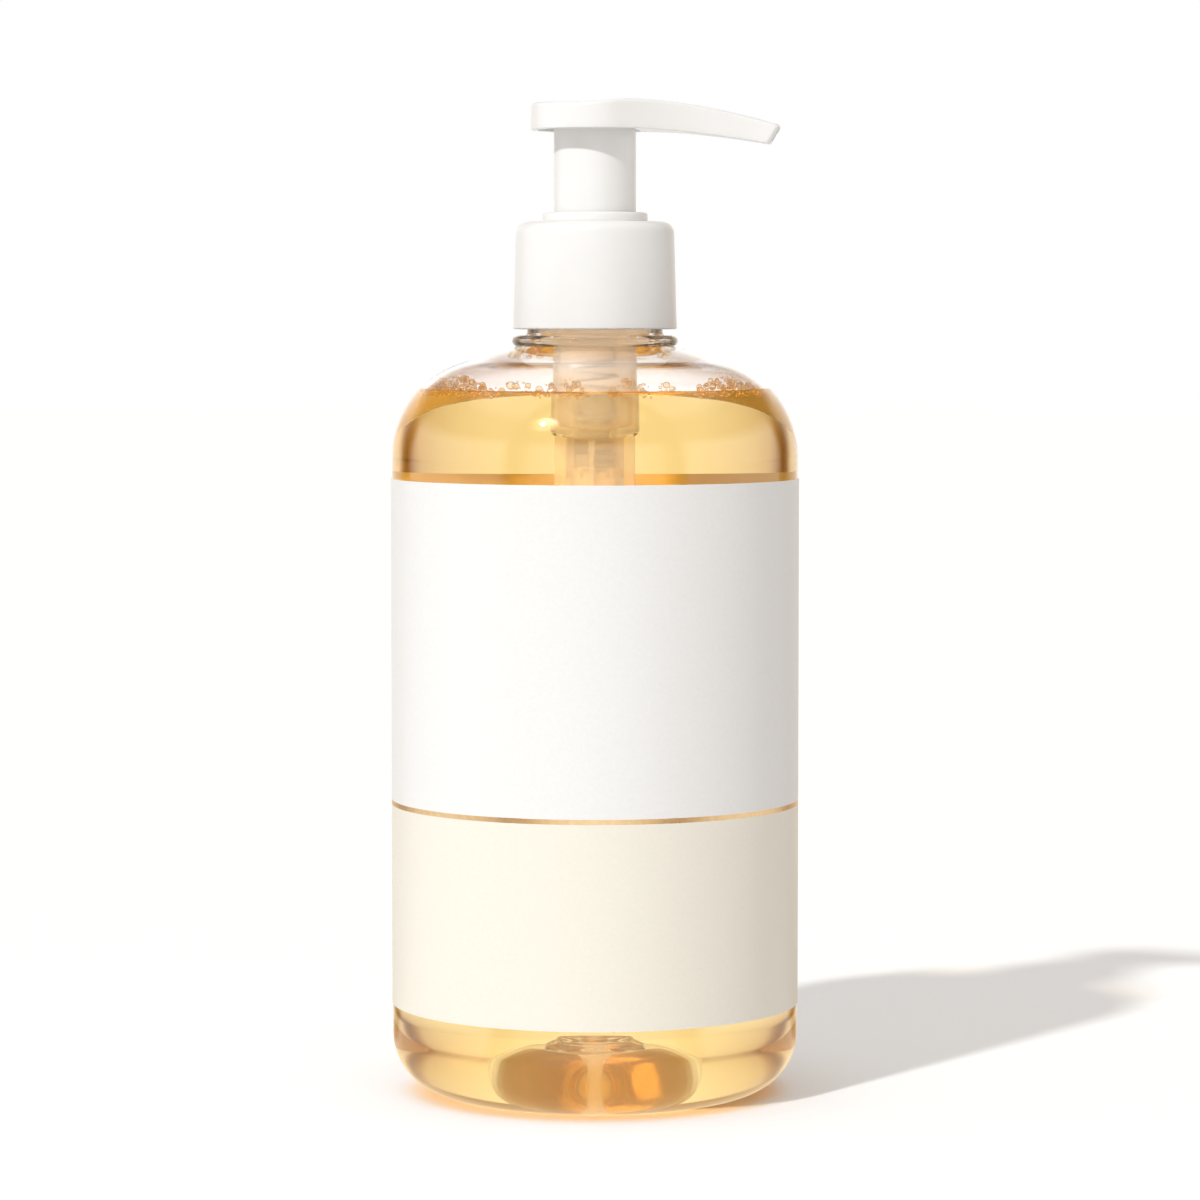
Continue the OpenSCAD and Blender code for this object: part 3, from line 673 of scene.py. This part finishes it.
def plan():
    """The head's outline from above, counter-clockwise from the side of the tip."""
    lean = 62
    xs, ys = HEAD_R * math.cos(math.radians(lean)), HEAD_R * math.sin(math.radians(lean))
    tip, apex = TIP_W / 2, REACH + 1
    side_end = REACH - TIP_ROUND
    steps = 26
    up = []
    for i in range(steps + 1):
        share = (side_end - xs) / (apex - xs) * (1 - i / steps)
        up.append((xs + (apex - xs) * share, tip + (ys - tip) * (1 - share) ** 2))
    back = head_circle(HEAD_R, lean, 56)[1:-1]
    down = [(x, -y) for x, y in reversed(up)]
    w = up[0][1]
    corner = [(side_end + TIP_ROUND * math.sin(t), -w + TIP_ROUND - TIP_ROUND * math.cos(t))
              for t in [math.pi / 2 * k / 6 for k in range(1, 7)]]
    face = [(REACH, (w - TIP_ROUND) * (k / 4 - 1)) for k in range(1, 8)]
    return up + back + down + corner + face + [(x, -y) for x, y in reversed(corner)]


def ease(s):
    """A smooth step from 0 to 1."""
    return (1 - math.cos(math.pi * min(max(s, 0), 1))) / 2


def top_z(x):
    """Height of the head's top: dished under the finger, with a crest before the spout."""
    if x < DISH_X:
        back = HEAD_R + 1
        return HEAD_TOP - DISH * ease((x + back) / (DISH_X + back))
    if x < CREST_X:
        return HEAD_TOP - DISH + (DISH + CREST) * ease((x - DISH_X) / (CREST_X - DISH_X))
    crest_z = HEAD_TOP + CREST
    return crest_z - (crest_z - TIP_TOP) * ((x - CREST_X) / (REACH - CREST_X)) ** 1.7


def under_z(x):
    """Height of the head's underside, flat as far as the skirt and then falling to the tip."""
    if x < SKIRT_R:
        return HEAD_Z
    return HEAD_Z - DROP * min(1.0, (x - SKIRT_R) / (REACH - TIP_LEAN - SKIRT_R)) ** 1.6


def head_ring(outline, inset, t, drop=0.0):
    """The outline drawn in by inset, at share t of the way from the underside to the top."""
    lean_from = 22
    ring = []
    for i, (x, y) in enumerate(outline):
        ax, ay = outline[i - 1]
        bx, by = outline[(i + 1) % len(outline)]
        tx, ty = bx - ax, by - ay
        length = math.hypot(tx, ty)
        px, py = x - ty / length * inset, y + tx / length * inset
        share = t + drop / (top_z(px) - under_z(px))
        leaned = px - TIP_LEAN * (1 - share) * ease((px - lean_from) / (REACH - lean_from))
        z = under_z(leaned) + (top_z(px) - under_z(leaned)) * t + drop
        ring.append((leaned, py, z))
    return ring


def solid_from_rings(rings, name, sharp=40):
    """Closes a stack of rings by drawing each end in towards its middle line."""
    def close(ring, lift):
        return [[(x, y * s, z + lift * (1 - s * s)) for x, y, z in ring]
                for s in (0.86, 0.7, 0.52, 0.34, 0.16, 0.0)]

    bm = bmesh.new()
    full = close(rings[0], 0.0)[::-1] + rings + close(rings[-1], 0.12)
    skin_between(bm, [[bm.verts.new(Vector(p) * MM) for p in ring] for ring in full])
    bmesh.ops.remove_doubles(bm, verts=bm.verts, dist=2e-6)
    bmesh.ops.holes_fill(bm, edges=bm.edges, sides=0)
    return new_object(name, bm, sharp)


def cut(ob, bm):
    """Takes the solid in bm out of the object."""
    tool = new_object("cutter", bm)
    mod = ob.modifiers.new("cut", "BOOLEAN")
    mod.object = tool
    mod.operation = "DIFFERENCE"
    mod.solver = "EXACT"
    bpy.context.view_layer.update()
    depsgraph = bpy.context.evaluated_depsgraph_get()
    me = bpy.data.meshes.new_from_object(ob.evaluated_get(depsgraph))
    ob.modifiers.clear()
    ob.data = me
    bpy.data.objects.remove(tool)


def head_body():
    """The finger pad and the spout, with a rounded foot and a rounded top edge."""
    outline = plan()
    rings = []
    for k in range(5):
        a = math.pi / 2 * k / 4
        rings.append(head_ring(outline, HEAD_FOOT * (1 - math.sin(a)), 0.0, HEAD_FOOT * (1 - math.cos(a))))
    for t in (0.2, 0.4, 0.6, 0.75):
        rings.append(head_ring(outline, 0.0, t))
    for k in range(9):
        a = math.pi / 2 * k / 8
        rings.append(head_ring(outline, HEAD_EDGE * (1 - math.cos(a)), 1.0, -HEAD_EDGE * (1 - math.sin(a))))
    return solid_from_rings(rings, "pump_head", 32)


def cut_pocket(body, pocket_top):
    """The round end is a shell, open underneath round the skirt and the channel."""
    r = HEAD_R - 1.2
    outline = head_circle(r, math.degrees(math.acos(CREST_X / r)), 72)
    bm = bmesh.new()
    skin_and_cap(bm, [[bm.verts.new(Vector((x, y, z)) * MM) for x, y in outline]
                      for z in (HEAD_Z - 1, pocket_top)])
    cut(body, bm)


def cut_outlet(body):
    """A round bore along the spout, its mouth opened out to a thin edge."""
    along = Vector((math.cos(OUTLET_SLOPE), 0, -math.sin(OUTLET_SLOPE)))
    mouth = Vector((REACH - TIP_LEAN / 2, 0, HEAD_Z - DROP + TIP_H / 2))
    past = mouth + along * 3
    bm = bmesh.new()
    tube_into(bm, [mouth - along * OUTLET_L, past], OUTLET_R, 40)
    cut(body, bm)
    bm = bmesh.new()
    tube_into(bm, [mouth - along * 0.6, mouth - along * 0.1, past], OUTLET_R + 0.02, 48)
    flare_x = (mouth - along * 0.4).x * MM
    for v in bm.verts:
        if v.co.x >= flare_x:
            v.co.y *= 1.4
    cut(body, bm)


def skirt_into(bm, pocket_top):
    """The skirt, the boss that holds the stem, and the walls beside the channel."""
    roof_hole, rim_z = 4.2, HEAD_Z - 0.2
    lathe_into(bm, rounded([
        (SKIRT_BORE, SKIRT_Z, 0.2), (SKIRT_R, SKIRT_Z, 0.25), (SKIRT_R, pocket_top + 0.3, 0),
        (roof_hole, pocket_top + 0.3, 0), (roof_hole, rim_z, 0), (SKIRT_BORE, rim_z, 0.5)], 5), 160)
    lathe_into(bm, rounded([
        (BOSS_BORE, BOSS_Z, 0.15), (BOSS_R, BOSS_Z, 0.2), (BOSS_R, pocket_top + 0.2, 0),
        (BOSS_BORE, pocket_top + 0.2, 0)], 4), 96)
    for y in (-1.9, 1.9):
        block_into(bm, (2.4, 0.9, 2.8), (6.8, y, HEAD_Z + 1.5))


def make_head():
    pocket_top = HEAD_TOP - DISH - HEAD_ROOF
    body = head_body()
    cut_pocket(body, pocket_top)
    bm = bmesh.new()
    skirt_into(bm, pocket_top)
    skirt = new_object("skirt", bm)
    cut_outlet(body)
    bm = bmesh.new()
    bm.from_mesh(body.data)
    bm.from_mesh(skirt.data)
    bpy.data.objects.remove(skirt)
    body.data.materials.clear()
    bm.to_mesh(body.data)
    bm.free()
    body.data.shade_smooth()
    body.data.set_sharp_from_angle(angle=math.radians(34))
    return place(dress(body, WHITE), "head", "white_plastic", "actuator")


# ------------------------------------------------------------ pump inside the bottle
def make_housing():
    bore, chamber_bore, cup_bore = CYL_R - PUMP_WALL, CHAMBER_R - PUMP_WALL, CUP_R - PUMP_WALL
    tube_bore, seat_r, recess_r = 2.85, 1.6, 2.92
    cup_floor = CUP_Z + PUMP_WALL
    outline = rounded([
        (LIP_R, FLANGE_TOP, 0.1), (FLANGE_R, FLANGE_TOP, 0.15), (FLANGE_R, FLANGE_Z, 0.1),
        (CUP_R, FLANGE_Z, 0.2), (CUP_R, CUP_Z, 0.5), (CYL_R, CUP_Z, 0.4), (CYL_R, CYL_Z, 0.3),
        (CHAMBER_R, CYL_Z, 0.3),
        (CHAMBER_R, CHAMBER_Z, 0.4), (SOCKET_R, CHAMBER_Z, 0.3), (SOCKET_R, SOCKET_Z, 0.3),
        (tube_bore, SOCKET_Z, 0.2), (tube_bore, TUBE_SEAT, 0.05), (seat_r, TUBE_SEAT, 0.05),
        (seat_r, VALVE_SEAT, 0.05), (recess_r, VALVE_SEAT, 0.05), (recess_r, CHAMBER_FLOOR, 0.1),
        (chamber_bore, CHAMBER_FLOOR, 0.3), (chamber_bore, CYL_FLOOR, 0.2), (bore, CYL_FLOOR, 0.05),
        (bore, CYL_TOP, 0.15), (CYL_R, CYL_TOP, 0.15), (CYL_R, cup_floor, 0.3), (cup_bore, cup_floor, 0.3),
        (cup_bore, FLANGE_Z, 0.1), (LIP_R, FLANGE_Z, 0.1)], 5)
    bm = bmesh.new()
    lathe_into(bm, outline, 144)
    # Four ribs round the socket, a little thinner at their outer edge.
    sunk, rib_foot, rib_top = 0.2, SOCKET_Z + 2.147, CHAMBER_Z + 0.047
    rib_w, rib_h = RIB_R - SOCKET_R + sunk, rib_top - rib_foot
    for k in range(4):
        rib = block_into(bm, (rib_w, 0.9, rib_h), (RIB_R - rib_w / 2, 0, rib_foot + rib_h / 2))
        turn = Matrix.Rotation(math.pi / 2 * k, 3, "Z")
        for v in rib:
            if v.co.x > (RIB_R - rib_w / 2) * MM:
                v.co.y *= 0.7 / 0.9
            v.co = turn @ v.co
    return place(dress(new_object("pump_housing", bm, 35), NATURAL), "pump", "natural_plastic", "housing")


def make_dip_tube():
    """A straight tube with a slanting cut at its foot."""
    bore, segs = TUBE_R - TUBE_WALL, 72
    shares = [i / segs for i in range(segs)]

    def ring(r, z):
        return [bm.verts.new(on_circle(r, share, z)) for share in shares]

    def cut_ring(r):
        rise = [math.tan(TUBE_CUT) * (TUBE_R - r * math.cos(2 * math.pi * share)) for share in shares]
        return [bm.verts.new(on_circle(r, share, TUBE_END + up)) for share, up in zip(shares, rise)]

    bm = bmesh.new()
    rings = [cut_ring(bore), cut_ring(TUBE_R)]
    rings += [ring(TUBE_R, z) for z in (40, 80, TUBE_TOP)]
    rings += [ring(bore, z) for z in (TUBE_TOP, 80, 40)]
    skin_between(bm, rings + rings[:1])
    return place(dress(new_object("dip_tube_clear", bm, 35), TUBE), "pump", "natural_plastic", "dip_tube")


def make_spring():
    """Open coils between a closed, flat coil at each end."""
    wire, mean, coils, steps, gap = 0.7, 4.0, 8, 40, 0.02
    z0 = CHAMBER_FLOOR
    length = SPRING_TOP - z0 - 2 * gap
    span = length - 3 * wire
    points = []
    for i in range(coils * steps + 1):
        t = i / steps
        if t < 1:
            z = t * wire
        elif t > coils - 1:
            z = length - wire - (coils - t) * wire
        else:
            z = wire + span * (t - 1) / (coils - 2)
        a = 2 * math.pi * t
        points.append((mean * math.cos(a), mean * math.sin(a), z0 + wire / 2 + gap + z))
    bm = bmesh.new()
    tube_into(bm, points, wire / 2, 12)
    ob = place(dress(new_object("return_spring", bm, 50), WIRE), "pump", "spring_steel", "spring")
    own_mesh(ob)
    return ob


def dress_carried():
    """The pieces hidden inside the pump keep their CAD shape and get their own finish."""
    finishes = {"neck_gasket": SEAL, "piston_stop": WHITE, "valve_cage": WHITE, "inlet_ball": BALL,
                "piston": PISTON, "piston_rod": WHITE, "stem": WHITE}
    for name, finish in finishes.items():
        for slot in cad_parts[name].material_slots:
            slot.material = finish


make_bottle()
make_liquid()
make_foam()
make_label()
make_closure()
make_ring()
make_head()
make_housing()
make_dip_tube()
make_spring()
dress_carried()

# ------------------------------------------------------------ stage, light and camera
# The camera stands in front of the bottle, six degrees round towards the spout.
VIEW_AZ = math.radians(6.0)
RIGHT = Vector((math.cos(VIEW_AZ), math.sin(VIEW_AZ), 0))
AHEAD = Vector((-math.sin(VIEW_AZ), math.cos(VIEW_AZ), 0))
CAMERA_DISTANCE, CAMERA_HEIGHT = 0.7957, 0.1410
CAMERA_TILT, CAMERA_YAW = 0.0640, 0.001145
LENS, SENSOR = 131.05, 36.0
KEY = RIGHT * -0.43 - AHEAD * 0.605 + Vector((0, 0, 0.65))
PAPER_GLOW = 0.21

# Dark boards beside the bottle, which draw its edges: share of a right angle, and colour.
FLAGS = ((0.0, (1, 1, 1)), (0.16, (0.98, 0.96, 0.92)), (0.25, (0.88, 0.82, 0.72)),
         (0.33, (0.78, 0.69, 0.57)), (0.41, (0.64, 0.52, 0.40)), (0.46, (0.36, 0.22, 0.12)),
         (0.51, (0.15, 0.07, 0.025)), (0.55, (0.22, 0.11, 0.05)), (0.62, (0.80, 0.73, 0.66)),
         (1.0, (0.88, 0.85, 0.82)))
# The same overhead: height of the ray's direction, and colour.
OVERHEAD = ((0.26, (1, 1, 1)), (0.40, (0.24, 0.16, 0.12)), (0.64, (0.22, 0.14, 0.10)),
            (0.80, (0.80, 0.74, 0.68)), (1.0, (0.55, 0.47, 0.42)))
# Light on the object from all round, from the right to the left.
AMBIENT = ((0.0, (0.545, 0.50, 0.455)), (1.0, (0.51, 0.51, 0.51)))


def dot(tree, source, direction):
    n = node(tree, "ShaderNodeVectorMath", operation="DOT_PRODUCT")
    tree.links.new(source, n.inputs[0])
    n.inputs[1].default_value = direction
    return n.outputs["Value"]


def smooth_step(tree, source, start, end, low=0.0, high=1.0):
    """Low up to start, high from end on, and a smooth change between."""
    n = node(tree, "ShaderNodeMapRange", interpolation_type="SMOOTHSTEP")
    tree.links.new(source, n.inputs[0])
    for i, v in enumerate((start, end, low, high), 1):
        n.inputs[i].default_value = v
    return n.outputs[0]


def colour_ramp(tree, source, stops):
    ramp = node(tree, "ShaderNodeValToRGB")
    tree.links.new(source, ramp.inputs[0])
    elements = ramp.color_ramp.elements
    for element, (position, colour) in zip(elements, (stops[0], stops[-1])):
        element.position, element.color = position, (*colour, 1)
    for position, colour in stops[1:-1]:
        elements.new(position).color = (*colour, 1)
    return ramp.outputs[0]


def math_node(tree, operation, *values):
    """The result of a maths node on sockets or plain numbers."""
    n = node(tree, "ShaderNodeMath", operation=operation)
    for socket, value in zip(n.inputs, values):
        if isinstance(value, (int, float)):
            socket.default_value = value
        else:
            tree.links.new(value, socket)
    return n.outputs[0]


def flag_colours(tree, where):
    """Colour by the angle off the line through the bottle, the same on all four sides."""
    across, along = [math_node(tree, "ABSOLUTE", dot(tree, where, axis)) for axis in (RIGHT, AHEAD)]
    angle = math_node(tree, "ARCTAN2", across, along)
    return colour_ramp(tree, math_node(tree, "DIVIDE", angle, math.pi / 2), FLAGS)


def make_floor():
    half = 6.0
    corners = [(-half, -half, 0), (half, -half, 0), (half, half, 0), (-half, half, 0)]
    me = bpy.data.meshes.new("floor")
    me.from_pydata(corners, [], [(0, 1, 2, 3)])
    m, t, b = material("floor_paper", Roughness=0.9, Specular_IOR_Level=0.1)
    rays = node(t, "ShaderNodeLightPath").outputs
    spot = node(t, "ShaderNodeNewGeometry").outputs["Position"]
    far = node(t, "ShaderNodeVectorMath", operation="LENGTH")
    t.links.new(spot, far.inputs[0])
    far = far.outputs["Value"]
    # Painted light: an amber pool round the foot, in the paper's colour and its glow, stands in for light
    # that has passed the shampoo.
    painted_amber_pool = mix_colours(t, smooth_step(t, far, 0.029, 0.0375), (1.0, 0.66, 0.34), (1, 1, 1))
    paper = node(t, "ShaderNodeVectorMath", operation="SCALE", Scale=0.9)
    t.links.new(painted_amber_pool, paper.inputs[0])
    t.links.new(paper.outputs[0], b.inputs["Base Color"])
    t.links.new(painted_amber_pool, b.inputs["Emission Color"])
    t.links.new(math_node(t, "MULTIPLY", rays["Is Camera Ray"], PAPER_GLOW), b.inputs["Emission Strength"])
    # Painted light: seen through the bottle or in gloss, the paper is a glow in place of what passes the
    # glass, amber near the foot and in the flags' colours further out, so it stays bright.
    painted_glow_through_glass = node(t, "ShaderNodeEmission", Strength=1.15)
    seen = mix_colours(t, smooth_step(t, far, 0.034, 0.13), (1.0, 0.80, 0.55), flag_colours(t, spot))
    t.links.new(seen, painted_glow_through_glass.inputs["Color"])
    through = math_node(t, "MAXIMUM", rays["Is Glossy Ray"], rays["Is Transmission Ray"])
    surface = mix_shaders(t, through, b.outputs[0], painted_glow_through_glass.outputs[0])
    t.links.new(surface, t.nodes["Material Output"].inputs["Surface"])
    me.materials.append(m)
    link("floor", me)


def make_world():
    world = bpy.data.worlds.new("studio")
    bpy.context.scene.world = world
    world.use_nodes = True
    t = world.node_tree
    t.nodes.clear()
    rays = node(t, "ShaderNodeLightPath").outputs
    way = node(t, "ShaderNodeTexCoord").outputs["Generated"]
    # What glass and gloss see: white all round, with brown flags at the sides and overhead.
    height = node(t, "ShaderNodeSeparateXYZ")
    t.links.new(way, height.inputs[0])
    overhead = colour_ramp(t, height.outputs["Z"], OVERHEAD)
    seen = mix_colours(t, rays["Is Glossy Ray"], flag_colours(t, way), overhead, blend_type="MULTIPLY")
    glass = node(t, "ShaderNodeBackground")
    t.links.new(seen, glass.inputs["Color"])
    # A lit panel round the key light, for the glints and the light inside the bottle.
    panel = smooth_step(t, dot(t, way, KEY.normalized()), 0.988, 0.997, 1.24, 26.0)
    t.links.new(panel, glass.inputs["Strength"])
    # What lights the object: soft and even, a little dimmer on the right.
    side = math_node(t, "MULTIPLY", dot(t, way, RIGHT * -0.8 - AHEAD * 0.4), 0.5)
    ambient = node(t, "ShaderNodeBackground")
    t.links.new(colour_ramp(t, math_node(t, "ADD", side, 0.5), AMBIENT), ambient.inputs["Color"])
    white = node(t, "ShaderNodeBackground")
    white.inputs["Color"].default_value = (1, 1, 1, 1)
    through = math_node(t, "MAXIMUM", rays["Is Glossy Ray"], rays["Is Transmission Ray"])
    light = mix_shaders(t, through, ambient.outputs[0], glass.outputs[0])
    shown = mix_shaders(t, rays["Is Camera Ray"], light, white.outputs[0])
    t.links.new(shown, node(t, "ShaderNodeOutputWorld").inputs["Surface"])


def make_lights():
    key = bpy.data.lights.new("key", "SUN")
    key.energy = 1.95
    key.angle = math.radians(3.0)
    key.color = (1.0, 0.995, 0.985)
    link("key", key).rotation_euler = KEY.to_track_quat("Z", "Y").to_euler()


def make_camera():
    camera = bpy.data.cameras.new("camera")
    camera.lens, camera.sensor_width = LENS, SENSOR
    camera.clip_start, camera.clip_end = 0.05, 50.0
    ob = link("camera", camera)
    ob.location = -AHEAD * CAMERA_DISTANCE + Vector((0, 0, CAMERA_HEIGHT))
    ob.rotation_euler = (math.pi / 2 - CAMERA_TILT, 0, VIEW_AZ - CAMERA_YAW)
    bpy.context.scene.camera = ob


make_floor()
make_world()
make_lights()
make_camera()
bpy.context.scene.view_settings.view_transform = "Standard"
# Light crosses up to twelve surfaces of bottle, liquid and pump, so paths need room.
bpy.context.scene.cycles.max_bounces = 40
bpy.context.scene.cycles.transmission_bounces = 40
bpy.context.scene.cycles.glossy_bounces = 24
